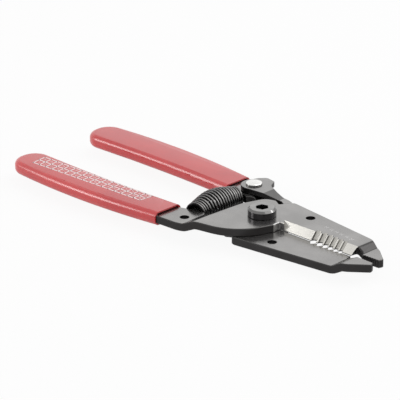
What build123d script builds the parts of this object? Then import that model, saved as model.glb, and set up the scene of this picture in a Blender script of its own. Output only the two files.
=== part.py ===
# Wire stripper with a return spring and a flick-over lock latch.
# Two alike stamped levers cross on a shoulder screw. Each lever is one sheet:
# its leaf at the pivot steps out of the middle plane, and its shank and nose lie in it.
# While modelling, z = 0 is where the two leaves slide, x runs to the nose tips,
# and the front handle is on the -y side. Everything is lifted at the end.
from build123d import *
import os
from math import cos, pi, radians, sin, tan

os.makedirs("parts", exist_ok=True)

# Lever sheet
plate_t = 3.2             # thickness of the stamped sheet
leaf_gap = 0.04           # film of oil between the two leaves
bend_r = 1.5              # inside radius of each step's bends
edge_break = 0.25         # tumbled edges of the stamping
rear_step_x = -18.0       # where the shank starts to rise towards the leaf
rear_step_run = 3.8
nose_step_back = 12.0     # from the nose tip back to where the leaf starts to drop
nose_step_run = 3.1

# Jaw, seen from above
nose_tip_x = 57.5
nose_len = 8.5            # from the first tooth to the tip
nose_hollow = 4.4         # open space between the blade and the first tooth
jaw_start_x = 9.2         # inner end of the blade
blade_lap = 0.1           # how far each blade passes the middle line
nose_gape = 1.45          # degrees from the middle line to each nose's teeth
jaw_root_y = 17.4         # back edge of the jaw over the pivot
jaw_end_y = 11.75         # back edge where it turns into the nose
boss_x = 3.9              # corner of the leaf on the handle's side, before it is rounded
boss_y = 18.8
boss_r = 19.0
shank_outer_y = 25.6      # both edges of the shank where it enters the grip
shank_inner_y = 14.7

# Blade grinding, stripping holes and teeth
bevel_root_w = 2.33       # width of the ground bevel at its inner end
bevel_end_w = 3.14
bevel_lead = 1.66         # the bevel's slanted start
flute_back = [18.6, 15.4, 12.65, 10.1, 7.5, 5.2]  # from the blade's end to each hole
flute_r_big = 1.25
flute_r_step = 0.10
tooth_count = 6
tooth_pitch = 1.15
tooth_depth = 0.45

# Holes
jaw_hole_r = 1.85         # hole through each jaw
jaw_hole_x = 15.05
jaw_hole_y = 10.54
shank_hole_r = 1.85       # takes the latch rivet on one lever, stays open on the other
shank_hole_x = -22.1
shank_hole_y = 19.03

# Pivot screw and nut
pivot_r = 3.0             # shoulder of the screw
pivot_clear = 0.05        # between the shoulder and the turning leaf
head_r = 5.45
head_h = 3.3
head_chamfer = 0.8
head_lift = 0.03          # running gap under the head
socket_af = 4.5
socket_depth = 2.4
socket_turn = 17          # degrees
thread_r = 2.5
nut_af = 10.0
nut_h = 3.0
nut_chamfer = 0.5

# Grips
grip_mouth_x = -30.9
grip_end_x = -111.5
grip_mid_x = -74.0
grip_mouth_y = 19.1       # centre line at the mouth, the middle and the end
grip_mid_y = 21.4
grip_end_y = 19.8
grip_mouth_w = 13.8
grip_mid_w = 15.8
grip_end_w = 14.8
grip_h = 5.4
grip_end_r = 7.1
grip_edge_r = 2.1
grip_wall = 1.25          # beside the tang
mouth_relief_h = 0.55     # the mouth stands off the shank
mouth_relief_depth = 2.4
shank_in_mouth = 3.0      # how far the full shank reaches into the mouth

# Return spring
seat_x = -24.2            # middle of each spring seat
front_seat_y = 11.5       # the front lever's seat stands nearer to the middle line
rear_seat_y = 13.0
seat_angle = 13.0         # half of the arc that the bowed spring makes
seat_w = 10.2
nib_w = 3.0
nib_len = 2.5
wire_d = 1.12
coil_end_r = 4.35         # outer radius of the end coils
coil_mid_r = 6.0
front_close_turns = 3
open_turns = 10
rear_close_turns = 4
close_pitch = 1.2
spring_clear = 0.06       # at each seat
turn_steps = 16           # straight runs in each turn of the wire
wire_sides = 6

# Lock latch, its washer and rivet
washer_t = 0.25
washer_r = 4.2
latch_t = 2.0
latch_head_r = 5.1
latch_drop = 0.95         # how far the arm steps down to the leaf
latch_step_x = -13.5
latch_step_run = 8.0
latch_play = 0.05         # radial, on the rivet
latch_top_gap = 0.04      # under the rivet head
notch_gap = 0.52          # between the tooth and the shoulder that it locks
tooth_clear = 2.1         # from the bottom of the notch up to the tooth
tooth_len = 3.4
rivet_head_r = 3.2
rivet_head_h = 0.95
rivet_foot_r = 2.7
rivet_foot_h = 0.8

# Lengths and heights worked out from the sizes above
nose_root_x = nose_tip_x - nose_len
blade_end_x = nose_root_x - nose_hollow
nose_step_x = nose_tip_x - nose_step_back
half_t = plate_t / 2
leaf_z = leaf_gap / 2
leaf_top = leaf_z + plate_t
lift = leaf_top + nut_h
washer_z = half_t
latch_z = washer_z + washer_t
latch_top = latch_z + latch_t
cut_h = 6 * plate_t       # taller than any sheet that is cut

# The notch in the leaf's edge that the latch tooth drops into
notch_bottom = (-2.5, 12.2)
notch_top = (0.5, jaw_root_y)


def stepped_sheet(profile, thickness, radius, width):
    """Sheet of even thickness bent along a side profile of its middle line."""
    line = FilletPolyline(*profile, radius=radius + thickness / 2)
    side = Plane.XZ * trace(line, thickness)
    return extrude(side, amount=width, both=True)


def lever_sheet():
    """Shank in the middle plane, leaf just above it, nose in the middle plane again."""
    leaf_mid = leaf_z + half_t
    profile = [
        (grip_end_x - 10, 0),
        (rear_step_x, 0),
        (rear_step_x + rear_step_run, leaf_mid),
        (nose_step_x, leaf_mid),
        (nose_step_x + nose_step_run, 0),
        (nose_tip_x + 10, 0),
    ]
    return stepped_sheet(profile, plate_t, bend_r, 4 * boss_y)


def along_seat(seat_y, distance, out=0.0):
    """A point on a lever's spring seat, or standing off it."""
    a = radians(seat_angle)
    return (seat_x + distance * cos(a) - out * sin(a), -seat_y + distance * sin(a) + out * cos(a))


def nose_edge_y(x):
    return x * tan(radians(nose_gape))


def lever_outline(seat_y):
    """Plan of the upper lever: corners in order round the sheet, each with its radius."""
    shank_x = grip_mouth_x - shank_in_mouth
    corners = [
        # outside of the shank and the boss
        ((shank_x, -shank_outer_y), 0),
        ((-20.5, -25.0), 10),
        ((-12.5, -21.9), 6),
        ((boss_x, -boss_y), boss_r),
        ((jaw_start_x + 0.2, -3.5), 0.8),
        # blade and nose
        ((jaw_start_x, -blade_lap), 0.3),
        ((blade_end_x, -blade_lap), 0),
        ((blade_end_x + 0.5, bevel_end_w - 0.1), 1.0),
        ((nose_root_x - 0.8, bevel_end_w - 0.4), 0.8),
        ((nose_root_x, nose_edge_y(nose_root_x)), 0.3),
        ((nose_tip_x - 0.8, nose_edge_y(nose_tip_x)), 0.5),
        ((nose_tip_x, 3.4), 0.9),
        ((nose_root_x + 1.4, 9.3), 8),
        # back of the jaw, the latch notch and the hump behind it
        ((blade_end_x - 0.3, jaw_end_y), 4),
        (notch_top, 2.4),
        (notch_bottom, 0.4),
        ((-5.7, 14.0), 0.9),
        ((-10.2, 12.8), 4.5),
        # inside of the shank and the spring seat
        ((-13.5, 3.0), 15),
        ((-14.3, -11.6), 1.5),
        ((-16.9, -13.9), 0.8),
        (along_seat(seat_y, seat_w / 2 - 0.4), 1.0),
        (along_seat(seat_y, 1.8 - seat_w / 2), 2.0),
        ((shank_x, -shank_inner_y), 0),
    ]
    points = [p for p, r in corners]
    radii = [r for p, r in corners]
    return make_face(FilletPolyline(*points, radius=radii, close=True))


def spring_nib(seat_y):
    """Tab of the sheet that holds the spring's end coil in place."""
    corners = [
        along_seat(seat_y, -nib_w / 2, -1),
        along_seat(seat_y, nib_w / 2, -1),
        along_seat(seat_y, nib_w / 2, nib_len),
        along_seat(seat_y, -nib_w / 2, nib_len),
    ]
    return make_face(FilletPolyline(*corners, radius=[0, 0, 0.7, 0.7], close=True))


def grip_outline():
    """Plan of the front grip: two bowed sides, a square mouth and a round end."""
    def point(x, y, w, side):
        return (x, -y + side * w / 2)

    mouth = [point(grip_mouth_x, grip_mouth_y, grip_mouth_w, s) for s in (-1, 1)]
    middle = [point(grip_mid_x, grip_mid_y, grip_mid_w, s) for s in (-1, 1)]
    end = [point(grip_end_x, grip_end_y, grip_end_w, s) for s in (-1, 1)]
    outer = ThreePointArc(mouth[0], middle[0], end[0])
    inner = ThreePointArc(mouth[1], middle[1], end[1])
    plan = make_face([outer, Line(end[0], end[1]), inner, Line(mouth[1], mouth[0])])
    return fillet(plan.vertices().sort_by(Axis.X)[:2], grip_end_r)


def tang_outline():
    """The shank inside the grip keeps one wall's distance from the grip's skin."""
    keep = Rectangle(200, 200, align=(Align.MAX, Align.CENTER))
    start_x = grip_mouth_x - grip_wall - 0.5 * shank_in_mouth
    return offset(grip_outline(), -grip_wall) & (Pos(start_x) * keep)


def bevel_top_y(x):
    share = (x - jaw_start_x) / (blade_end_x - jaw_start_x)
    return bevel_root_w + share * (bevel_end_w - bevel_root_w) - blade_lap


def bevel_section(x):
    """What the grinding wheel takes off, as a face across the blade at x."""
    rise = (bevel_top_y(x) + blade_lap) / plate_t
    low = -blade_lap - rise
    high = bevel_top_y(x) + rise
    corners = [(low, leaf_z - 1), (high, leaf_top + 1), (low, leaf_top + 1)]
    section = Plane(origin=(x, 0, 0), x_dir=(0, 1, 0), z_dir=(1, 0, 0))
    return section * make_face(Polyline(*corners, close=True))


def blade_bevel():
    """Ground bevel with a slanted start, as a solid to take away."""
    start_x = jaw_start_x - 2
    end_x = blade_end_x + 1
    wheel = loft([bevel_section(start_x), bevel_section(end_x)])
    top_y = bevel_top_y(jaw_start_x)
    slant = (top_y + 3) / (top_y - 0.5)
    plan = Polyline(
        (jaw_start_x - bevel_lead, 2 * top_y - 0.5),
        (jaw_start_x + bevel_lead * slant, -3),
        (end_x, -3),
        (end_x, 2 * top_y - 0.5),
        close=True,
    )
    return wheel & extrude(make_face(plan), amount=cut_h, both=True)


def stripping_flutes():
    """Half-round stripping holes, sloped like the bevel that they run down."""
    flutes = []
    for i, back in enumerate(flute_back):
        x = blade_end_x - back
        r = flute_r_big - i * flute_r_step
        slope = Vector(0, bevel_top_y(x) + blade_lap, plate_t)
        place = Plane(origin=(x, -blade_lap, leaf_z), x_dir=(1, 0, 0), z_dir=slope)
        flutes.append(place * Cylinder(r, 4 * plate_t))
    return flutes


def nose_teeth():
    """Crosswise grooves on the gripping edge of the nose."""
    grooves = []
    for i in range(tooth_count):
        x = nose_root_x + 0.6 * tooth_pitch + (i + 0.5) * tooth_pitch
        y = nose_edge_y(x)
        half = 0.46 * tooth_pitch
        start = (x - half, y - 0.02)
        end = (x + half, y - 0.02)
        plan = Polyline(start, (x, y + tooth_depth), end, (x, y - 1), close=True)
        grooves.append(extrude(make_face(plan), amount=cut_h, both=True))
    return grooves


def sheared_edges(blank):
    """The outline's edges on both skins, without the cutting edge and the bend lines."""
    def on_blade(edge):
        middle = edge.center()
        return abs(middle.Y + blade_lap) < 0.01 and middle.X < blade_end_x

    def upright(edge):
        return edge.geom_type == GeomType.LINE and abs(edge.tangent_at(0.5).Z) > 0.99

    def bend_line(edge):
        return edge.geom_type == GeomType.LINE and abs(edge.tangent_at(0.5).Y) > 0.9999

    kept = [e for e in blank.edges() if not (on_blade(e) or upright(e) or bend_line(e))]
    return [e for e in kept if e.center().X > grip_mouth_x - shank_in_mouth + 0.1]


def lever(pivot_hole_r, seat_y):
    """One stamped lever in the upper lever's place."""
    sheet = lever_sheet()
    open_part = sheet & extrude(lever_outline(seat_y), amount=cut_h, both=True)
    open_part = chamfer(sheared_edges(open_part), edge_break)
    tang = sheet & extrude(tang_outline(), amount=cut_h, both=True)
    nib = sheet & extrude(spring_nib(seat_y), amount=cut_h, both=True)
    blank = open_part + tang + nib
    cuts = [blade_bevel()] + stripping_flutes() + nose_teeth()
    cuts.append(Cylinder(pivot_hole_r, cut_h))
    cuts.append(Pos(jaw_hole_x, jaw_hole_y) * Cylinder(jaw_hole_r, cut_h))
    cuts.append(Pos(shank_hole_x, -shank_hole_y) * Cylinder(shank_hole_r, cut_h))
    return blank - cuts


def grip(shank):
    """Dipped sleeve over the tang, open at its mouth and round all over."""
    body = extrude(grip_outline(), amount=grip_h / 2, both=True)
    mouth = body.faces().sort_by(Axis.X)[-1]
    mouth_edges = mouth.edges()
    long_edges = [e for e in body.edges().filter_by(Axis.Z, reverse=True) if e not in mouth_edges]
    sleeve = fillet(long_edges, grip_edge_r)
    relief_w = grip_mouth_w - 2 * grip_wall
    relief = Pos(grip_mouth_x, -grip_mouth_y) * Box(
        2 * mouth_relief_depth, relief_w, plate_t + 2 * mouth_relief_h
    )
    return sleeve - shank - relief


def pivot_screw():
    """Shoulder screw with a socket head; its end is level with the nut."""
    head_z = leaf_top + head_lift
    shoulder_h = head_z + leaf_top
    head = Pos(0, 0, head_z) * Cylinder(head_r, head_h, align=(Align.CENTER, Align.CENTER, Align.MIN))
    head = chamfer(head.edges().sort_by(Axis.Z)[-1], head_chamfer)
    shoulder = Pos(0, 0, -leaf_top) * Cylinder(
        pivot_r, shoulder_h, align=(Align.CENTER, Align.CENTER, Align.MIN)
    )
    thread = Pos(0, 0, -lift) * Cylinder(thread_r, nut_h, align=(Align.CENTER, Align.CENTER, Align.MIN))
    socket_plan = RegularPolygon(socket_af / 2, 6, major_radius=False, rotation=socket_turn)
    socket = Pos(0, 0, head_z + head_h - socket_depth) * extrude(socket_plan, amount=2 * socket_depth)
    return head + shoulder + thread - socket


def pivot_nut():
    blank = extrude(RegularPolygon(nut_af / 2, 6, major_radius=False), amount=nut_h)
    corner_r = nut_af / 2 / cos(pi / 6)
    cone = Cone(corner_r + nut_chamfer, corner_r - nut_chamfer, 2 * nut_chamfer)
    turned = Cylinder(corner_r, nut_h - nut_chamfer, align=(Align.CENTER, Align.CENTER, Align.MAX))
    crown = Pos(0, 0, nut_h) * turned + Pos(0, 0, nut_chamfer) * cone
    return Pos(0, 0, -lift) * ((blank & crown) - Cylinder(thread_r, 4 * nut_h))


def spring_path():
    """Centre line of the bowed barrel spring, from the front seat to the rear one."""
    bow_r = (front_seat_y + rear_seat_y) / 2 / sin(radians(seat_angle))
    bow_x = seat_x + bow_r * cos(radians(seat_angle))
    bow_y = (rear_seat_y - front_seat_y) / 2
    end_gap = spring_clear + wire_d / 2
    length = 2 * radians(seat_angle) * bow_r - 2 * end_gap
    close_turns = front_close_turns + rear_close_turns
    open_pitch = (length - close_turns * close_pitch) / open_turns
    turns = close_turns + open_turns
    points = []
    for i in range(turns * turn_steps + 1):
        turn = i / turn_steps
        front = min(turn, front_close_turns)
        middle = min(max(turn - front_close_turns, 0), open_turns)
        rear = turn - front - middle
        run = end_gap + (front + rear) * close_pitch + middle * open_pitch
        bow = run / bow_r - radians(seat_angle)
        swell = sin(pi * turn / turns) ** 2
        r = coil_end_r - wire_d / 2 + (coil_mid_r - coil_end_r) * swell
        reach = bow_r + r * cos(2 * pi * turn)
        points.append((bow_x - reach * cos(bow), bow_y + reach * sin(bow), r * sin(2 * pi * turn)))
    return Polyline(*points)


def return_spring():
    path = spring_path()
    section = Plane(origin=path @ 0, z_dir=path % 0) * RegularPolygon(wire_d / 2, wire_sides)
    return sweep(section, path=path, transition=Transition.RIGHT)


def latch_outline():
    """Plan of the latch: round head with a thumb lobe, and an arm that ends in a tooth."""
    cx = shank_hole_x
    cy = shank_hole_y
    shoulder = Vector(notch_top[0] - notch_bottom[0], notch_top[1] - notch_bottom[1]).normalized()
    away = Vector(-shoulder.Y, shoulder.X) * notch_gap
    tooth_low = Vector(*notch_bottom) + away + shoulder * tooth_clear
    tooth_high = Vector(*notch_bottom) + away + shoulder * (tooth_clear + tooth_len)
    head = Pos(cx, cy) * Circle(latch_head_r)
    thumb = make_face(FilletPolyline(
        (cx - 4.4, cy + 2.0),
        (cx - 3.0, cy + 5.8),
        (cx - 0.7, cy + 8.3),
        (cx + 4.0, cy + 7.4),
        (cx + 5.3, cy + 4.4),
        (cx + 3.0, cy),
        radius=[0, 1.5, 2.0, 1.2, 0.8, 0], close=True,
    ))
    arm = make_face(FilletPolyline(
        (cx, cy + 4.9),
        (cx + 4.8, cy + 4.9),
        (cx + 6.5, cy + 2.9),
        (-10.8, 19.9),
        (-6.4, 18.5),
        (tooth_high.X - 3.0, tooth_high.Y + 1.0),
        (tooth_high.X, tooth_high.Y),
        (tooth_low.X, tooth_low.Y),
        (tooth_low.X - 0.6, tooth_low.Y + 0.1),
        (-4.4, 15.5),
        (-12.5, 15.0),
        (cx + 1.3, cy - 4.9),
        (cx, cy - 2.0),
        radius=[0, 0.5, 2.0, 5.0, 6.0, 4.0, 0.5, 0.3, 0.3, 1.0, 6.0, 0, 0], close=True,
    ))
    return head + thumb + arm - Pos(cx, cy) * Circle(shank_hole_r + latch_play)


def lock_latch():
    mid_z = latch_z + latch_t / 2
    profile = [
        (shank_hole_x - 20, mid_z),
        (latch_step_x, mid_z),
        (latch_step_x + latch_step_run, mid_z - latch_drop),
        (20, mid_z - latch_drop),
    ]
    sheet = stepped_sheet(profile, latch_t, bend_r, 4 * boss_y)
    return sheet & extrude(latch_outline(), amount=cut_h, both=True)


def latch_washer():
    ring = Circle(washer_r) - Circle(shank_hole_r)
    return Pos(shank_hole_x, shank_hole_y, washer_z) * extrude(ring, amount=washer_t)


def latch_rivet():
    """Rivet with a low domed head over the latch and a peened foot under the shank."""
    head_z = latch_top + latch_top_gap
    up = (Align.CENTER, Align.CENTER, Align.MIN)
    head = Pos(0, 0, head_z) * Cylinder(rivet_head_r, rivet_head_h, align=up)
    head = chamfer(head.edges().sort_by(Axis.Z)[-1], 0.3 * rivet_head_h, rivet_head_r / 2)
    shank = Pos(0, 0, -half_t) * Cylinder(shank_hole_r, head_z + half_t, align=up)
    foot = Pos(0, 0, -half_t - rivet_foot_h) * Cylinder(rivet_foot_r, rivet_foot_h, align=up)
    foot = chamfer(foot.edges().sort_by(Axis.Z)[0], 0.5 * rivet_foot_h)
    return Pos(shank_hole_x, shank_hole_y) * (head + shank + foot)


def swapped(piece):
    """The same piece turned over about the x axis, as the lower lever is."""
    return piece.rotate(Axis.X, 180)


def build_nodes():
    upper = lever(pivot_r + pivot_clear, front_seat_y)
    lower = lever(pivot_r, rear_seat_y)
    return {
        "upper_lever": upper,
        "upper_grip": grip(upper),
        "lower_lever": swapped(lower),
        "lower_grip": swapped(grip(lower)),
        "pivot_screw": pivot_screw(),
        "pivot_nut": pivot_nut(),
        "return_spring": return_spring(),
        "lock_latch": lock_latch(),
        "latch_washer": latch_washer(),
        "latch_rivet": latch_rivet(),
    }


for name, piece in build_nodes().items():
    export_step(Pos(0, 0, lift) * piece, f"parts/{name}.step")
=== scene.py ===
from math import cos, pi, radians, sin

import bmesh
import bpy
from mathutils import Matrix, Vector


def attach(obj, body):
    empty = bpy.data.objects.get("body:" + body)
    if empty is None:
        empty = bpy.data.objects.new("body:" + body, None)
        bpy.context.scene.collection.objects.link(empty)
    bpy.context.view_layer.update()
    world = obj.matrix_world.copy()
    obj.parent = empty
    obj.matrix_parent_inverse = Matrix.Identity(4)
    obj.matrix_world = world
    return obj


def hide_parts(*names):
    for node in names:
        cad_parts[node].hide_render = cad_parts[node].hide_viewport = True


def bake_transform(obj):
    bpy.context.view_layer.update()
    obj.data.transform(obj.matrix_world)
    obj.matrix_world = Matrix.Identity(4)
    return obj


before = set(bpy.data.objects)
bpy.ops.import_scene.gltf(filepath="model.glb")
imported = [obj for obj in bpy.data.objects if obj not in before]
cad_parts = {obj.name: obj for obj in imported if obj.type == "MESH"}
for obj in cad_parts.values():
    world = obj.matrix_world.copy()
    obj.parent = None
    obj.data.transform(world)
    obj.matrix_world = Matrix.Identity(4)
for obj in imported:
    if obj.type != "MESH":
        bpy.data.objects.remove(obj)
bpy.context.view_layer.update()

mm = 0.001
print("frame loaded")


# Materials

noiseRough = 0.55


class Wire:
    # a shader socket that can be written in sums
    def __init__(self, kit, socket):
        self.kit = kit
        self.socket = socket

    def __add__(self, other):
        return self.kit.maths("ADD", self, other)

    def __radd__(self, other):
        return self.kit.maths("ADD", other, self)

    def __sub__(self, other):
        return self.kit.maths("SUBTRACT", self, other)

    def __rsub__(self, other):
        return self.kit.maths("SUBTRACT", other, self)

    def __mul__(self, other):
        return self.kit.maths("MULTIPLY", self, other)

    def __rmul__(self, other):
        return self.kit.maths("MULTIPLY", other, self)

    def __truediv__(self, other):
        return self.kit.maths("DIVIDE", self, other)


class Kit:
    # one material and the nodes that are added to it
    def __init__(self, name):
        self.material = bpy.data.materials.new(name)
        self.material.use_nodes = True
        self.tree = self.material.node_tree
        self.tree.nodes.clear()

    def node(self, kind, settings=None, inputs=None, out=0):
        made = self.tree.nodes.new("ShaderNode" + kind)
        for key, value in (settings or {}).items():
            setattr(made, key, value)
        for key, value in (inputs or {}).items():
            self.feed(made.inputs[key], value)
        return Wire(self, made.outputs[out])

    def feed(self, socket, value):
        if isinstance(value, Wire):
            self.tree.links.new(value.socket, socket)
        elif isinstance(value, tuple) and len(value) == 3 and socket.type == "RGBA":
            socket.default_value = (*value, 1)
        else:
            socket.default_value = value

    def maths(self, operation, *values):
        return self.node("Math", {"operation": operation}, dict(enumerate(values)))

    def place(self):
        return self.node("TexCoord", out=3)

    def normal(self):
        # the flat face's own direction
        return self.node("NewGeometry", out=3)

    def axes(self, vector):
        split = self.node("SeparateXYZ", inputs={0: vector})
        outputs = split.socket.node.outputs
        return [Wire(self, outputs[i]) for i in range(3)]

    def noise(self, scale, stretch=(1, 1, 1), detail=3):
        vector = self.node("Mapping", inputs={0: self.place(), 3: stretch})
        return self.node("TexNoise", inputs={
            "Vector": vector, "Scale": scale, "Detail": detail, "Roughness": noiseRough})

    def vary(self, noise, amount):
        # a change either way, from a noise with its middle at a half
        return (noise - 0.5) * amount

    def ramp(self, value, low, high):
        # 0 below low, 1 above high
        return self.node("MapRange", {"interpolation_type": "SMOOTHSTEP"},
                         {0: value, 1: low, 2: high, 3: 0.0, 4: 1.0})

    def mixColour(self, share, first, second, blend="MIX"):
        return self.node("Mix", {"data_type": "RGBA", "blend_type": blend},
                         {0: share, 6: first, 7: second}, 2)

    def shade(self, colour, share, low, high):
        # the colour times a grey between low and high
        grey = self.mixColour(share, (low,) * 3, (high,) * 3)
        return self.mixColour(1.0, colour, grey, "MULTIPLY")

    def bump(self, height, distance, strength):
        return self.node("Bump", inputs={
            "Strength": strength, "Distance": distance, "Height": height})

    def finish(self, **sockets):
        inputs = {key.replace("_", " "): value for key, value in sockets.items()}
        return self.output(self.node("BsdfPrincipled", inputs=inputs))

    def output(self, shader):
        end = self.tree.nodes.new("ShaderNodeOutputMaterial")
        self.tree.links.new(shader.socket, end.inputs[0])
        return self.material


steelFinish = {
    # the three tones: painted sheen on faces that look up or down, painted shade on slopes, darker
    # painted shade round the sides
    "topSheenTone": (0.345, 0.338, 0.332),
    "slopeShadeTone": (0.070, 0.068, 0.067),
    "sideShadeTone": (0.042, 0.040, 0.040),
    "level": (0.985, 0.998),    # how far a face must look up to get the tops' painted sheen
    "side": (0.25, 0.62),       # and to escape the painted shade round the sides
    "topRough": 0.20,
    "sideRough": 0.40,
    "cloud": 90,                # noises: scale, span that is used, change of tone and roughness
    "cloudSpan": (0.3, 0.75),
    "cloudTone": (0.88, 1.06),
    "cloudRough": 0.10,
    "smear": 420,
    "smearStretch": (0.35, 1, 1),
    "smearRough": 0.08,
    "grain": 2600,
    "grainDepth": 0.02 * mm,
    "grainRelief": 0.22,
    "metallic": 0.95,
}
latchFinish = {
    **steelFinish,
    # a lighter painted shade on the latch arm's gentle slope
    "slopeShadeTone": (0.15, 0.147, 0.145),
    "level": (0.9925, 0.9975),
    "cloudTone": (0.88 * 0.96, 1.06 * 0.96),
}
rivetFinish = {
    **steelFinish,
    # pale head: its own bright steel with painted sheen on top, and painted shade round its sides
    "topSheenTone": (0.93, 0.925, 0.90),
    "slopeShadeTone": (0.86, 0.855, 0.83),
    "sideShadeTone": (0.055, 0.053, 0.053),
    "level": (0.90, 0.98),
    "topRough": 0.22,
    "sideRough": 0.30,
}


def rolledSteel(name, look):
    # black steel with painted sheen where a face looks up or down, painted shade on slopes, and
    # darker painted shade round the sides
    kit = Kit(name)
    flat = kit.maths("ABSOLUTE", kit.axes(kit.normal())[2])
    level = kit.ramp(flat, *look["level"])
    side = kit.ramp(flat, *look["side"])
    cloud = kit.noise(look["cloud"], detail=5)
    smear = kit.noise(look["smear"], stretch=look["smearStretch"], detail=4)
    grain = kit.noise(look["grain"], detail=2)
    colour = kit.mixColour(level, look["slopeShadeTone"], look["topSheenTone"])
    colour = kit.mixColour(side, look["sideShadeTone"], colour)
    colour = kit.shade(colour, kit.ramp(cloud, *look["cloudSpan"]), *look["cloudTone"])
    rough = look["sideRough"] + (look["topRough"] - look["sideRough"]) * side
    rough = rough + kit.vary(cloud, look["cloudRough"]) + kit.vary(smear, look["smearRough"])
    relief = kit.bump(grain, look["grainDepth"], look["grainRelief"])
    return kit.finish(Base_Color=colour, Metallic=look["metallic"], Roughness=rough, Normal=relief)


landShadeLook = {
    "pivotZ": 6.22 * mm,        # where the two leaves slide
    "width": 0.42 * mm,         # painted shade along the cutting edge, where the two leaves meet, standing also for a narrow dark land that the mesh lacks
    "full": 0.6,                # share of it that is wholly dark
    "tone": (0.05, 0.047, 0.045),
}


def addLandShade(kit, look, colour):
    # painted shade along the cutting edge where the two leaves meet, and the colour above it
    height = kit.axes(kit.place())[2]
    off = kit.maths("ABSOLUTE", height - look["pivotZ"])
    above = kit.ramp(off, look["full"] * look["width"], look["width"])
    return kit.mixColour(above, look["tone"], colour)


groundFinish = {
    "tone": (0.60, 0.595, 0.59),
    "markTone": 0.88,           # the marks' share of the tone
    "marks": 900,
    "markSpan": (0.25, 0.8),
    "stretch": (6, 0.4, 0.4),
    "markDepth": 0.01 * mm,
    "scratch": 0.3,
    "cloud": 160,
    "cloudRough": 0.1,
    "rough": 0.30,
    "metallic": 0.8,
    "landShade": None,
}
# pale finish for the short walls beside the boss: painted light where light falls on them, over
# the marks of the tool
litShoulderFinish = {
    **groundFinish, "tone": (0.33, 0.325, 0.32), "rough": 0.36, "stretch": (0.5, 0.5, 5)}
bevelFinish = {
    **groundFinish, "tone": (0.70, 0.683, 0.64), "rough": 0.25, "scratch": 0.14,
    "landShade": landShadeLook}
stampFinish = {**groundFinish, "stretch": (1, 1, 1)}
washerFinish = {**groundFinish, "tone": (0.20, 0.20, 0.20), "scratch": 0.2}


def groundSteel(name, look):
    # bare metal with fine marks of the tool
    kit = Kit(name)
    marks = kit.noise(look["marks"], stretch=look["stretch"], detail=4)
    cloud = kit.noise(look["cloud"], detail=3)
    markTone = tuple(look["markTone"] * c for c in look["tone"])
    colour = kit.mixColour(kit.ramp(marks, *look["markSpan"]), markTone, look["tone"])
    # painted shade along the cutting edge, where the leaves meet
    if look["landShade"]:
        colour = addLandShade(kit, look["landShade"], colour)
    rough = kit.vary(cloud, look["cloudRough"]) + look["rough"]
    relief = kit.bump(marks, look["markDepth"], look["scratch"])
    return kit.finish(Base_Color=colour, Metallic=look["metallic"], Roughness=rough, Normal=relief)


fluteFinish = {
    "pale": (0.48, 0.465, 0.43),
    "dark": (0.06, 0.056, 0.05),
    "turn": (-0.45, 0.05),      # how far a wall faces the tip, from painted shade to pale
    "marks": 1400,
    "stretch": (4, 0.4, 0.4),
    "markSpan": (0.3, 0.7),
    "markShade": (0.84, 1.0),
    "markRough": 0.1,
    "rough": 0.22,
    "metallic": 0.8,
    "landShade": landShadeLook,
}


def reamedSteel(name, look):
    # the wall of a stripping hole: pale bare steel, with painted shade on the walls that face away
    # from the tip
    kit = Kit(name)
    turned = kit.axes(kit.normal())[0]
    marks = kit.noise(look["marks"], stretch=look["stretch"], detail=3)
    colour = kit.mixColour(kit.ramp(turned, *look["turn"]), look["dark"], look["pale"])
    # painted shade along the cutting edge, where the leaves meet
    colour = addLandShade(kit, look["landShade"], colour)
    colour = kit.shade(colour, kit.ramp(marks, *look["markSpan"]), *look["markShade"])
    rough = marks * look["markRough"] + look["rough"]
    return kit.finish(Base_Color=colour, Metallic=look["metallic"], Roughness=rough)


wireFinish = {
    "black": (0.012, 0.011, 0.012),
    # painted highlight on the outside of the turns
    "coilHighlight": (0.26, 0.255, 0.25),
    "seatX": -24.2 * mm,        # these five say where the spring's middle line runs
    "midZ": 6.22 * mm,
    "bowY": 0.75 * mm,
    "bowLength": 12.25 * mm,
    "bowDepth": 1.4 * mm,
    "outer": (0.70, 0.98),      # how far a face looks away from the middle line
    # over these heights the painted highlight fades into painted shade on the coil's lower half
    "upper": (-3.0 * mm, 3.5 * mm),
    "cloud": 260,
    "cloudSpan": (0.25, 0.75),
    "cloudTone": (0.62, 1.0),
    "cloudRough": 0.12,
    "rough": 0.22,
    "metallic": 0.9,
}


def springWire(look):
    # black wire, with a painted highlight on the outside of each turn and painted shade over the
    # coil's lower half
    kit = Kit("springWire")
    x, y, z = kit.axes(kit.place())
    nx, ny, nz = kit.axes(kit.normal())
    along = (y - look["bowY"]) / look["bowLength"]
    outX = x - look["seatX"] + (1 - along * along) * look["bowDepth"]
    outZ = z - look["midZ"]
    reach = kit.maths("SQRT", outX * outX + outZ * outZ)
    outer = (nx * outX + nz * outZ) / reach
    coilHighlight = kit.ramp(outer, *look["outer"]) * kit.ramp(outZ, *look["upper"])
    cloud = kit.noise(look["cloud"], detail=4)
    colour = kit.mixColour(coilHighlight, look["black"], look["coilHighlight"])
    colour = kit.shade(colour, kit.ramp(cloud, *look["cloudSpan"]), *look["cloudTone"])
    rough = kit.vary(cloud, look["cloudRough"]) + look["rough"]
    return kit.finish(Base_Color=colour, Metallic=look["metallic"], Roughness=rough)


vinylFinish = {
    "deep": (0.54, 0.025, 0.030),
    "bright": (0.62, 0.040, 0.042),
    "cloud": 60,
    "cloudSpan": (0.3, 0.7),
    "cloudRough": 0.08,
    "flow": 140,
    "flowStretch": (0.25, 1, 1),
    "flowRough": 0.10,
    "flowRelief": 0.6,
    "pores": 1500,
    "poreRelief": 0.25,
    "depth": 0.02 * mm,
    "relief": 0.09,
    "rough": 0.30,
    "coat": 0.7,
    "coatRough": 0.30,
}


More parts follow.
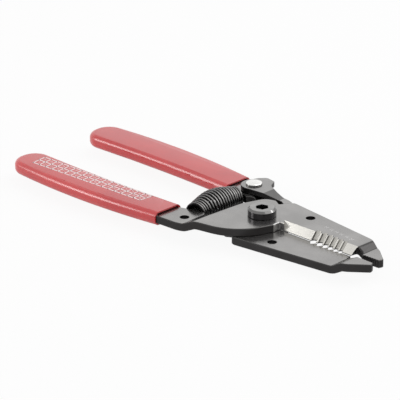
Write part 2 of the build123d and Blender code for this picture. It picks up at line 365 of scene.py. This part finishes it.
def redVinyl(look):
    # dipped vinyl: a waxy skin with faint flow marks and fine pores
    kit = Kit("redVinyl")
    cloud = kit.noise(look["cloud"], detail=4)
    flow = kit.noise(look["flow"], stretch=look["flowStretch"], detail=3)
    pores = kit.noise(look["pores"], detail=3)
    colour = kit.mixColour(kit.ramp(cloud, *look["cloudSpan"]), look["deep"], look["bright"])
    rough = kit.vary(cloud, look["cloudRough"]) + kit.vary(flow, look["flowRough"]) + look["rough"]
    height = flow * look["flowRelief"] + pores * look["poreRelief"]
    relief = kit.bump(height, look["depth"], look["relief"])
    return kit.finish(Base_Color=colour, Roughness=rough, Normal=relief, Coat_Weight=look["coat"],
                      Coat_Roughness=look["coatRough"])


nutFinish = {
    "tone": (0.05, 0.048, 0.05),
    "cloud": 200,
    "cloudSpan": (0.3, 0.75),
    "cloudTone": 0.75,          # the clouds' share of the tone
    "cloudRough": 0.15,
    "grain": 3000,
    "grainDepth": 0.02 * mm,
    "grainRelief": 0.3,
    "rough": 0.36,
    "metallic": 0.85,
}


def darkSteel(name, look):
    kit = Kit(name)
    cloud = kit.noise(look["cloud"], detail=4)
    grain = kit.noise(look["grain"], detail=2)
    cloudTone = tuple(look["cloudTone"] * c for c in look["tone"])
    colour = kit.mixColour(kit.ramp(cloud, *look["cloudSpan"]), cloudTone, look["tone"])
    rough = kit.vary(cloud, look["cloudRough"]) + look["rough"]
    relief = kit.bump(grain, look["grainDepth"], look["grainRelief"])
    return kit.finish(Base_Color=colour, Metallic=look["metallic"], Roughness=rough, Normal=relief)


screwFinish = {
    "black": (0.045, 0.043, 0.045),
    # painted glint on the chamfer rim, and painted sheen on the top face
    "rim": (0.16, 0.157, 0.155),
    "face": (0.36, 0.355, 0.35),
    "rimUp": (0.35, 0.6),       # how far the rim looks up, and its height
    "rimZ": (11.2 * mm, 11.6 * mm),
    "faceUp": (0.93, 0.985),
    "faceZ": (11.9 * mm, 12.4 * mm),
    "cloud": 240,
    "cloudSpan": (0.3, 0.75),
    "cloudTone": (0.85, 1.05),
    "cloudRough": 0.08,
    "rough": 0.16,
    "metallic": 0.9,
}


def headSheenSteel(look):
    # black all round, with a painted glint on the head's chamfer rim and painted sheen on its top
    # face
    kit = Kit("screwFinish")
    up = kit.axes(kit.normal())[2]
    height = kit.axes(kit.place())[2]
    rim = kit.ramp(up, *look["rimUp"]) * kit.ramp(height, *look["rimZ"])
    face = kit.ramp(up, *look["faceUp"]) * kit.ramp(height, *look["faceZ"])
    cloud = kit.noise(look["cloud"], detail=4)
    colour = kit.mixColour(rim, look["black"], look["rim"])
    colour = kit.mixColour(face, colour, look["face"])
    colour = kit.shade(colour, kit.ramp(cloud, *look["cloudSpan"]), *look["cloudTone"])
    rough = kit.vary(cloud, look["cloudRough"]) + look["rough"]
    return kit.finish(Base_Color=colour, Metallic=look["metallic"], Roughness=rough)


inkFinish = {
    "thin": (0.92, 0.78, 0.79),
    "full": (0.96, 0.92, 0.92),
    "wear": 900,
    "wearSpan": (0.30, 0.55),
    "rough": 0.45,
}


def whiteInk(look):
    kit = Kit("whiteInk")
    wear = kit.ramp(kit.noise(look["wear"], detail=4), *look["wearSpan"])
    colour = kit.mixColour(wear, look["thin"], look["full"])
    return kit.finish(Base_Color=colour, Roughness=look["rough"])


steel = rolledSteel("blackenedSteel", steelFinish)
latchSteel = rolledSteel("latchSteel", latchFinish)
litShoulderSteel = groundSteel("litShoulderWalls", litShoulderFinish)
bevelSteel = groundSteel("groundBevel", bevelFinish)
fluteSteel = reamedSteel("reamedFlutes", fluteFinish)
stampSteel = groundSteel("stampedMarks", stampFinish)
vinyl = redVinyl(vinylFinish)
screwSteel = headSheenSteel(screwFinish)
nutSteel = darkSteel("blackNut", nutFinish)
wireSteel = springWire(wireFinish)
rivetSteel = rolledSteel("turnedRivet", rivetFinish)
washerSteel = groundSteel("washer", washerFinish)
ink = whiteInk(inkFinish)
print("materials made")


# Shared mesh steps

meshLook = {
    "join": 0.001 * mm,         # corners nearer than this are one
    "nodeJoin": 0.002 * mm,
    "flat": 0.5,                # degrees between triangles of one flat face
    "smooth": 28,               # degrees at which an edge starts to be sharp
    "soft": 30,                 # degrees at which an edge is rounded
}


def fromNode(node):
    # the node's triangles, joined into flat faces
    bm = bmesh.new()
    bm.from_mesh(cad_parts[node].data)
    bmesh.ops.remove_doubles(bm, verts=bm.verts, dist=meshLook["nodeJoin"])
    bmesh.ops.dissolve_limit(bm, angle_limit=radians(meshLook["flat"]), verts=bm.verts,
                             edges=bm.edges)
    return bm


def joinCorners(bm):
    bmesh.ops.remove_doubles(bm, verts=bm.verts, dist=meshLook["join"])
    bmesh.ops.recalc_face_normals(bm, faces=bm.faces)


def lathe(profile, steps, centre=(0, 0)):
    # a profile of radius and height, turned round an upright axis
    bm = bmesh.new()
    verts = [bm.verts.new((r, 0, z)) for r, z in profile]
    edges = [bm.edges.new(pair) for pair in zip(verts, verts[1:])]
    bmesh.ops.spin(bm, geom=verts + edges, cent=(0, 0, 0), axis=(0, 0, 1),
                   angle=2 * pi, steps=steps, use_merge=True)
    joinCorners(bm)
    bmesh.ops.translate(bm, verts=bm.verts, vec=(centre[0], centre[1], 0))
    return bm


def placeObject(name, data):
    made = bpy.data.objects.new(name, data)
    bpy.context.scene.collection.objects.link(made)
    return made


def shapedMesh(piece):
    # a new mesh of the piece with its modifiers applied
    bpy.context.view_layer.update()
    graph = bpy.context.evaluated_depsgraph_get()
    return bpy.data.meshes.new_from_object(piece.evaluated_get(graph))


def smoothMesh(mesh, angle):
    mesh.polygons.foreach_set("use_smooth", [True] * len(mesh.polygons))
    mesh.set_sharp_from_angle(angle=radians(angle))


def softenEdges(piece, width, steps):
    rounding = piece.modifiers.new("edges", "BEVEL")
    rounding.width = width
    rounding.segments = steps
    rounding.limit_method = "ANGLE"
    rounding.angle_limit = radians(meshLook["soft"])
    rounding.harden_normals = True


def toObject(bm, name, body, materials, soften=0, steps=2, smooth=meshLook["smooth"]):
    mesh = bpy.data.meshes.new(name)
    bm.to_mesh(mesh)
    bm.free()
    for material in materials:
        mesh.materials.append(material)
    piece = placeObject(name, mesh)
    smoothMesh(mesh, smooth)
    if soften:
        softenEdges(piece, soften, steps)
    if body:
        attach(piece, body)
    return piece


# Levers

leverLook = {
    "bladeX": (7.2 * mm, 44.7 * mm),
    "bladeY": (-0.3 * mm, 4.6 * mm),
    "bevelNormal": (0, -0.8, 0.6),
    "bevelMatch": 0.97,                 # how near to that a ground face's direction is
    "bevelTurn": 0.12,
    "fluteX": 20.0 * mm,                # the stripping holes start here
    "fluteUp": (0.05, 0.99),
    "fluteOut": 0.35,
    "wallX": (8.0 * mm, 13.0 * mm),     # short walls between the boss and the blade
    "wallY": (-0.5 * mm, 3.4 * mm),
    "wallUp": (-0.1, 0.9),
    "turnX": (5.0 * mm, 10.0 * mm),     # where the boss turns in to that wall
    "turnY": (-6.0 * mm, 0.3 * mm),
    "turnOut": 0.5,
    "soften": 0.05 * mm,
}


def within(value, span):
    return span[0] < value < span[1]


def makeLever(node, name, body, side, look):
    # side is 1 for the upper lever, and -1 for the lower one, which is the same turned over
    bm = fromNode(node)
    materials = [steel, bevelSteel, fluteSteel, litShoulderSteel]
    bevelNormal = Vector(look["bevelNormal"])
    for face in bm.faces:
        centre = face.calc_center_median()
        x, y = centre.x, side * centre.y
        normal = Vector((face.normal.x, side * face.normal.y, side * face.normal.z))
        ground = normal.dot(bevelNormal) > look["bevelMatch"]
        blade = within(x, look["bladeX"]) and within(y, look["bladeY"])
        wall = within(x, look["wallX"]) and within(y, look["wallY"])
        turn = within(x, look["turnX"]) and within(y, look["turnY"])
        flute = blade and x > look["fluteX"] and within(normal.z, look["fluteUp"])
        # walls beside the boss get the pale finish, painted light where light falls on them
        if wall and within(normal.z, look["wallUp"]) and not ground:
            face.material_index = materials.index(litShoulderSteel)
        elif turn and normal.x > look["turnOut"]:
            face.material_index = materials.index(litShoulderSteel)
        elif blade and ground and abs(normal.x) < look["bevelTurn"]:
            face.material_index = materials.index(bevelSteel)
        elif flute and normal.y < look["fluteOut"]:
            face.material_index = materials.index(fluteSteel)
    piece = toObject(bm, name, body, materials, look["soften"])
    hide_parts(node)


makeLever("upper_lever", "upperLever", "upper_half", 1, leverLook)
makeLever("lower_lever", "lowerLever", "lower_half", -1, leverLook)
print("levers made")


# Latch and its rivet

latchLook = {
    "soften": 0.22 * mm,
    "steps": 3,
}
rivetLook = {
    "centre": (-22.1 * mm, 19.03 * mm),
    "foot": 3.82 * mm,          # heights of the rivet, from its foot up
    "shankLow": 4.62 * mm,
    "headLow": 10.11 * mm,
    "headTop": 11.06 * mm,
    "shankR": 1.85 * mm,
    "footR": 2.7 * mm,
    "headR": 3.2 * mm,
    # shares of the radius, with mm up from the foot, up from the head's underside, and down
    # from its top
    "footCurve": ((0.80, 0), (0.95, 0.12), (1, 0.35)),
    "rimCurve": ((0.97, 0), (1, 0.12), (1, 0.45), (0.975, 0.62), (0.92, 0.74)),
    "crownCurve": ((0.70, 0.07), (0.35, 0.015)),
    "turns": 64,
    "smooth": 40,
}


def makeLatch(look):
    latch = toObject(fromNode("lock_latch"), "lockLatch", "latch", [latchSteel],
                     look["soften"], look["steps"])
    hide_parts("lock_latch")


def makeRivet(look):
    foot, low, high = look["foot"], look["headLow"], look["headTop"]
    profile = [
        (0, foot),
        *((share * look["footR"], foot + up * mm) for share, up in look["footCurve"]),
        (look["footR"], look["shankLow"]),
        (look["shankR"], look["shankLow"]),
        (look["shankR"], low),
        *((share * look["headR"], low + up * mm) for share, up in look["rimCurve"]),
        *((share * look["headR"], high - down * mm) for share, down in look["crownCurve"]),
        (0, high),
    ]
    piece = toObject(lathe(profile, look["turns"], look["centre"]), "latchRivet", "lower_half",
                     [rivetSteel], smooth=look["smooth"])
    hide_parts("latch_rivet")


makeLatch(latchLook)
makeRivet(rivetLook)
print("latch made")


# Pivot screw and nut

screwLook = {
    "foot": 0.0,
    "nutTop": 3.0 * mm,
    "leafTop": 9.47 * mm,       # underside of the head
    "headTop": 12.77 * mm,
    "headR": 5.45 * mm,
    "shoulderR": 3.0 * mm,
    "threadR": 2.5 * mm,
    "threadChamfer": 0.3 * mm,
    "lowChamfer": 0.2 * mm,
    "chamfer": 0.8 * mm,
    "socketR": 2.6 * mm,        # to the corners of the hexagon
    "socketDepth": 2.4 * mm,
    "socketTurn": 107,
    "turns": 96,
    "soften": 0.16 * mm,
    "steps": 3,
}
nutLook = {"soften": 0.08 * mm}


def makeSocketCutter(look):
    bm = bmesh.new()
    turn = Matrix.Rotation(radians(look["socketTurn"]), 4, "Z")
    place = Matrix.Translation((0, 0, look["headTop"])) @ turn
    bmesh.ops.create_cone(bm, cap_ends=True, segments=6, radius1=look["socketR"],
                          radius2=look["socketR"], depth=2 * look["socketDepth"], matrix=place)
    return toObject(bm, "socketCutter", None, [screwSteel])


def makeScrew(look):
    top, r = look["headTop"], look["headR"]
    bm = lathe([
        (0, look["foot"]),
        (look["threadR"] - look["threadChamfer"], look["foot"]),
        (look["threadR"], look["foot"] + look["threadChamfer"]),
        (look["threadR"], look["nutTop"]),
        (look["shoulderR"], look["nutTop"]),
        (look["shoulderR"], look["leafTop"]),
        (r - look["lowChamfer"], look["leafTop"]),
        (r, look["leafTop"] + look["lowChamfer"]),
        (r, top - look["chamfer"]),
        (r - look["chamfer"], top),
        (0, top),
    ], look["turns"])
    cutter = makeSocketCutter(look)
    piece = toObject(bm, "pivotScrew", "lower_half", [screwSteel])
    cut = piece.modifiers.new("socket", "BOOLEAN")
    cut.operation = "DIFFERENCE"
    cut.object = cutter
    made = shapedMesh(piece)
    piece.modifiers.clear()
    piece.data = made
    bpy.data.objects.remove(cutter)
    smoothMesh(made, meshLook["smooth"])
    softenEdges(piece, look["soften"], look["steps"])
    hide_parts("pivot_screw")


def makeNut(look):
    nut = toObject(fromNode("pivot_nut"), "pivotNut", "lower_half", [nutSteel],
                   look["soften"])
    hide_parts("pivot_nut")


makeScrew(screwLook)
makeNut(nutLook)
print("screw and nut made")


# Return spring

springLook = {
    "seatX": -24.2 * mm,
    "frontY": 11.5 * mm,
    "rearY": 13.0 * mm,
    "angle": 13.0,              # half of the bow
    "wire": 1.12 * mm,
    "endR": 4.35 * mm,
    "midR": 6.0 * mm,
    "frontTurns": 3,
    "openTurns": 10,
    "rearTurns": 4,
    "closePitch": 1.2 * mm,
    "clear": 0.06 * mm,
    "midZ": 6.22 * mm,
    "steps": 20,                # places in a turn
    "sides": 3,                 # steps added to each half of the wire's round
    "smooth": 50,
}


def springRoute(look):
    # close turns at both ends, open turns in the swelling middle, all along a bow
    half = radians(look["angle"])
    bowR = (look["frontY"] + look["rearY"]) / 2 / sin(half)
    middleY = (look["rearY"] - look["frontY"]) / 2
    centre = Vector((look["seatX"] + bowR * cos(half), middleY, look["midZ"]))
    gap = look["clear"] + look["wire"] / 2
    closed = (look["frontTurns"] + look["rearTurns"]) * look["closePitch"]
    pitch = (2 * half * bowR - 2 * gap - closed) / look["openTurns"]
    turns = look["frontTurns"] + look["openTurns"] + look["rearTurns"]
    points = []
    for i in range(turns * look["steps"] + 1):
        turn = i / look["steps"]
        middle = min(max(turn - look["frontTurns"], 0), look["openTurns"])
        run = gap + (turn - middle) * look["closePitch"] + middle * pitch
        bow = run / bowR - half
        swell = sin(pi * turn / turns) ** 2
        r = look["endR"] - look["wire"] / 2 + (look["midR"] - look["endR"]) * swell
        reach = bowR + r * cos(2 * pi * turn)
        off = Vector((-reach * cos(bow), reach * sin(bow), r * sin(2 * pi * turn)))
        points.append(centre + off)
    return points


def makeSpring(look):
    points = springRoute(look)
    curve = bpy.data.curves.new("springWire", "CURVE")
    curve.dimensions = "3D"
    curve.bevel_depth = look["wire"] / 2
    curve.bevel_resolution = look["sides"]
    curve.use_fill_caps = True
    spline = curve.splines.new("POLY")
    spline.points.add(len(points) - 1)
    for point, place in zip(spline.points, points):
        point.co = (*place, 1)
    holder = placeObject("springWire", curve)
    mesh = shapedMesh(holder)
    bpy.data.objects.remove(holder)
    bm = bmesh.new()
    bm.from_mesh(mesh)
    joinCorners(bm)
    piece = toObject(bm, "returnSpring", None, [wireSteel], smooth=look["smooth"])
    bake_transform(piece)
    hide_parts("return_spring")


makeSpring(springLook)
print("spring made")


# Grips

gripLook = {
    "lip": 0.35 * mm,
    "steps": 3,
    "smooth": 24,
}


def makeGrip(node, name, body, look):
    grip = toObject(fromNode(node), name, body, [vinyl], look["lip"], look["steps"],
                    look["smooth"])
    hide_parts(node)


makeGrip("upper_grip", "upperGrip", "upper_half", gripLook)
makeGrip("lower_grip", "lowerGrip", "lower_half", gripLook)
print("grips made")


# Printed table on the front grip, and stamped numbers on the rear jaw

tableLook = {
    # in mm: the grip's end and the jaws' end of the low edge, then of the high edge backwards
    "corners": ((-101.5, -23.2), (-44.1, -20.9), (-43.7, -14.9), (-102.3, -16.2)),
    "height": 8.925 * mm,
    "thick": 0.02 * mm,
    "line": 0.48 * mm,
    "text": 1.15 * mm,
    "first": "0",
    "upperRow": ("10", "12", "14", "16", "18", "20", "22", "24",
                 "26", "28", "30", "32", "34", "36", "38", "40"),
    "lowerRow": ("2.6", "2.0", "1.6", "1.3", "1.0", ".81", ".64", ".51",
                 ".40", ".32", ".25", ".20", ".16", ".13", ".10", ".08"),
}


def slopeOf(run):
    return run.to_2d().angle_signed(Vector((1, 0)))


def tablePoint(look, along, across):
    # a place in the table, from its low corner at the grip's end
    a, b, c, d = (Vector((x * mm, y * mm, 0)) for x, y in look["corners"])
    return a.lerp(b, along).lerp(d.lerp(c, along), across)


def addBar(bm, start, end, look):
    # a thin flat line from one place to another
    run = end - start
    middle = (start + end) / 2
    size = Matrix.Diagonal((run.length + look["line"], look["line"], look["thick"], 1))
    place = Matrix.Translation((middle.x, middle.y, look["height"]))
    turn = Matrix.Rotation(slopeOf(run), 4, "Z")
    bmesh.ops.create_cube(bm, size=1, matrix=place @ turn @ size)


def addText(bm, words, middle, turn, look):
    # plain numbers, made a mesh and laid flat
    letters = bpy.data.curves.new("letters", "FONT")
    letters.body = words
    letters.size = look["text"]
    letters.extrude = look["thick"] / 2
    letters.resolution_u = 2
    letters.align_x = "CENTER"
    letters.align_y = "CENTER"
    holder = placeObject("letters", letters)
    mesh = shapedMesh(holder)
    place = Matrix.Translation((middle.x, middle.y, look["height"]))
    mesh.transform(place @ Matrix.Rotation(turn, 4, "Z"))
    bm.from_mesh(mesh)
    bpy.data.objects.remove(holder)


def makeTable(look):
    bm = bmesh.new()
    columns = len(look["upperRow"]) + 1
    for across in (0, 0.5, 1):
        addBar(bm, tablePoint(look, 0, across), tablePoint(look, 1, across), look)
    for i in range(columns + 1):
        along = i / columns
        addBar(bm, tablePoint(look, along, 0), tablePoint(look, along, 1), look)
    turn = slopeOf(tablePoint(look, 1, 0.5) - tablePoint(look, 0, 0.5))
    for row, across in ((look["upperRow"], 0.75), (look["lowerRow"], 0.25)):
        for i, words in enumerate((look["first"],) + row):
            addText(bm, words, tablePoint(look, (i + 0.5) / columns, across), turn, look)
    toObject(bm, "printedTable", "upper_half", [ink])


stampLook = {
    "words": ("10", "12", "14", "16", "18", "20"),
    "start": (25.2, 8.2),       # middles of the first and the last number, in mm
    "end": (39.2, 6.3),
    "height": 9.442 * mm,
    "thick": 0.01 * mm,
    "text": 1.9 * mm,
}


def makeStamps(look):
    bm = bmesh.new()
    start = Vector((*look["start"], 0)) * mm
    end = Vector((*look["end"], 0)) * mm
    last = len(look["words"]) - 1
    for i, words in enumerate(look["words"]):
        addText(bm, words, start.lerp(end, i / last), 0, look)
    toObject(bm, "stampedNumbers", "upper_half", [stampSteel])


makeTable(tableLook)
makeStamps(stampLook)
print("print and stamps made")


# Carried-over node

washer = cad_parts["latch_washer"].data
washer.materials.clear()
washer.materials.append(washerSteel)
print("washer finished")


# Stage, light and camera

stage = {
    "floor": 3.0,
    "floorTone": (0.93, 0.93, 0.93),
    "grain": 40,
    "grainTone": 0.99,          # the grain's share of the tone
    "glow": 0.92,               # how much of the floor is paper white, over its shadow
    "mirrored": 0.5,            # the same in reflections
    "around": 0.45,             # light from all round, on matte surfaces
    "seenAround": 1.0,          # and as it is seen and mirrored
}


def makeFloor(look):
    bpy.ops.mesh.primitive_plane_add(size=look["floor"])
    floor = bpy.context.object
    floor.name = "floor"
    kit = Kit("paleFloor")
    path = kit.node("LightPath").socket.node.outputs
    mirrored = Wire(kit, path["Is Glossy Ray"]) * look["mirrored"]
    seen = kit.maths("MAXIMUM", Wire(kit, path["Is Camera Ray"]), mirrored)
    grainTone = tuple(look["grainTone"] * c for c in look["floorTone"])
    tone = kit.mixColour(kit.noise(look["grain"]), grainTone, look["floorTone"])
    matte = kit.node("BsdfDiffuse", inputs={0: tone})
    glow = kit.node("Emission", inputs={0: (1, 1, 1), 1: 1.0})
    kit.output(kit.node("MixShader", inputs={0: seen * look["glow"], 1: matte, 2: glow}))
    floor.data.materials.append(kit.material)


def makeWorld(look):
    world = bpy.data.worlds.new("studio")
    bpy.context.scene.world = world
    world.use_nodes = True
    tree = world.node_tree
    tree.nodes.clear()
    path = tree.nodes.new("ShaderNodeLightPath")
    seen = tree.nodes.new("ShaderNodeMath")
    seen.operation = "MAXIMUM"
    tree.links.new(path.outputs["Is Camera Ray"], seen.inputs[0])
    tree.links.new(path.outputs["Is Glossy Ray"], seen.inputs[1])
    strength = tree.nodes.new("ShaderNodeMapRange")
    strength.inputs[3].default_value = look["around"]
    strength.inputs[4].default_value = look["seenAround"]
    tree.links.new(seen.outputs[0], strength.inputs[0])
    back = tree.nodes.new("ShaderNodeBackground")
    back.inputs[0].default_value = (1, 1, 1, 1)
    tree.links.new(strength.outputs[0], back.inputs[1])
    output = tree.nodes.new("ShaderNodeOutputWorld")
    tree.links.new(back.outputs[0], output.inputs[0])


# metres and watts: left makes the grips' line of light, spark and back the screw's glints
lamps = [
    {"name": "overhead", "place": (0.22, 0.44, 0.68), "size": (0.9, 0.9), "power": 3.4},
    {"name": "front", "place": (0.30, -0.75, 0.55), "size": (0.5, 0.5), "power": 0.2},
    {"name": "left", "place": (-0.62, -0.68, 0.27), "size": (0.36, 0.32), "power": 2.9},
    {"name": "spark", "place": (-0.60, -0.50, 0.48), "size": (0.08, 0.08), "power": 0.07},
    {"name": "back", "place": (0.36, 0.65, 0.62), "size": (0.16, 0.16), "power": 0.5},
]


def makeLamp(look):
    light = bpy.data.lights.new(look["name"], "AREA")
    light.shape = "RECTANGLE"
    light.size, light.size_y = look["size"]
    light.energy = look["power"]
    place = Vector(look["place"])
    turn = place.to_track_quat("Z", "Y").to_matrix().to_4x4()
    placeObject(look["name"], light).matrix_world = Matrix.Translation(place) @ turn


view = {
    "azimuth": 44.40,
    "elevation": 22.65,
    "roll": -0.054,
    "distance": 1.06387,
    "target": (-0.01741, -0.01548, 0.01510),
    "lens": 255.35,
    "farthest": 10,
}


def makeCamera(look):
    camera = bpy.data.cameras.new("photoView")
    camera.lens = look["lens"]
    camera.clip_end = look["farthest"]
    holder = placeObject("photoView", camera)
    turn = (Matrix.Rotation(radians(look["azimuth"]), 4, "Z")
            @ Matrix.Rotation(radians(90 - look["elevation"]), 4, "X")
            @ Matrix.Rotation(radians(look["roll"]), 4, "Z"))
    place = Vector(look["target"]) + look["distance"] * (turn @ Vector((0, 0, 1)))
    holder.matrix_world = Matrix.Translation(place) @ turn
    bpy.context.scene.camera = holder


makeFloor(stage)
makeWorld(stage)
for lamp in lamps:
    makeLamp(lamp)
makeCamera(view)
bpy.context.scene.view_settings.view_transform = "Standard"
print("stage ready")
